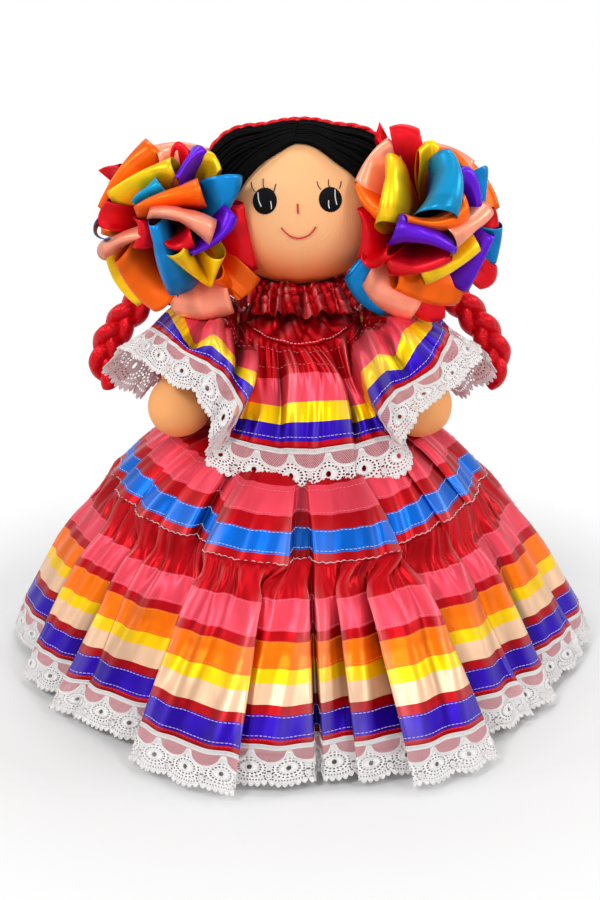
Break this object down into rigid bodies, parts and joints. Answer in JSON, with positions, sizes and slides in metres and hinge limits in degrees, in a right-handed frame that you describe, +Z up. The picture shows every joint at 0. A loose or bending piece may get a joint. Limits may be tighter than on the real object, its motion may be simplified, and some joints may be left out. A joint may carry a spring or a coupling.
{
  "type": "rag doll",
  "caption": "Standing cloth doll with a stuffed ball head, yarn hair, ribbon bows and braids, lace-edged ruffled blouse and a wide two-tier banded skirt on a hoop petticoat.",
  "frame": {"origin": "on the floor, under the middle of the skirt", "axes": "+Z up, the face looks along -Y, +X to the viewer's right"},
  "size_m": [0.4521, 0.453, 0.4043],
  "materials": {
    "skin": "smooth peach cotton knit over stuffing",
    "hair": "black yarn, sewn down",
    "eye_thread": "black satin stitch",
    "red_thread": "red thread",
    "red_satin": "red satin, soft sheen",
    "banded_satin": "red satin with sewn ribbon bands",
    "lace": "white cotton lace",
    "net": "stiff white net",
    "hoop": "stiff strip in a cloth casing",
    "felt": "black felt",
    "ribbon_red": "red satin ribbon",
    "ribbon_orange": "orange satin ribbon",
    "ribbon_teal": "teal satin ribbon",
    "ribbon_salmon": "salmon satin ribbon",
    "ribbon_purple": "purple satin ribbon",
    "ribbon_yellow": "yellow satin ribbon"
  },
  "bodies": {
    "figure": {"torso": "skin", "yoke": "red_satin", "collar_frill": "red_satin", "ruffle_front": "banded_satin", "lace_front": "lace", "ruffle_back": "banded_satin", "lace_back": "lace", "waistband": "red_satin", "skirt_upper": "banded_satin", "skirt_lower": "banded_satin", "lace_hem": "lace", "petticoat": "net", "hoop": "hoop"},
    "neck": {"neck": "skin"},
    "head": {"head": "skin", "nose_stitch": "red_thread", "mouth_stitch": "red_thread", "headband": "red_satin", "eye_left": "eye_thread", "hair_left": "hair", "braid_left": "red_satin", "bow_tie_left": "red_satin", "bow_left_red": "ribbon_red", "bow_left_orange": "ribbon_orange", "bow_left_teal": "ribbon_teal", "bow_left_salmon": "ribbon_salmon", "bow_left_purple": "ribbon_purple", "bow_left_yellow": "ribbon_yellow", "eye_right": "eye_thread", "hair_right": "hair", "braid_right": "red_satin", "bow_tie_right": "red_satin", "bow_right_red": "ribbon_red", "bow_right_orange": "ribbon_orange", "bow_right_teal": "ribbon_teal", "bow_right_salmon": "ribbon_salmon", "bow_right_purple": "ribbon_purple", "bow_right_yellow": "ribbon_yellow"},
    "arm_left": {"arm_left": "skin", "hand_left": "skin", "undersleeve_left": "red_satin", "ruffle_sleeve_left": "banded_satin", "lace_sleeve_left": "lace"},
    "leg_left": {"leg_left": "skin", "shoe_left": "felt"},
    "arm_right": {"arm_right": "skin", "hand_right": "skin", "undersleeve_right": "red_satin", "ruffle_sleeve_right": "banded_satin", "lace_sleeve_right": "lace"},
    "leg_right": {"leg_right": "skin", "shoe_right": "felt"}
  },
  "joints": [
    {"name": "head_turn", "type": "hinge", "parent": "figure", "child": "neck", "pos_m": [0, 0, 0.2765], "axis": [0, 0, 1], "range_deg": [-8, 8], "stiffness_Nm_per_rad": 0.6},
    {"name": "head_nod", "type": "hinge", "parent": "neck", "child": "head", "pos_m": [0, 0, 0.3405], "axis": [1, 0, 0], "range_deg": [-8, 8], "stiffness_Nm_per_rad": 1.5},
    {"name": "arm_left_swing", "type": "hinge", "parent": "figure", "child": "arm_left", "pos_m": [-0.0403, 0, 0.243], "axis": [-1, 0, 0], "range_deg": [0, 12]},
    {"name": "arm_right_swing", "type": "hinge", "parent": "figure", "child": "arm_right", "pos_m": [0.0403, 0, 0.243], "axis": [-1, 0, 0], "range_deg": [0, 12]},
    {"name": "leg_left_swing", "type": "hinge", "parent": "figure", "child": "leg_left", "pos_m": [-0.017, 0, 0.15], "axis": [-1, 0, 0], "range_deg": [-15, 25]},
    {"name": "leg_right_swing", "type": "hinge", "parent": "figure", "child": "leg_right", "pos_m": [0.017, 0, 0.15], "axis": [-1, 0, 0], "range_deg": [-15, 25]}
  ]
}
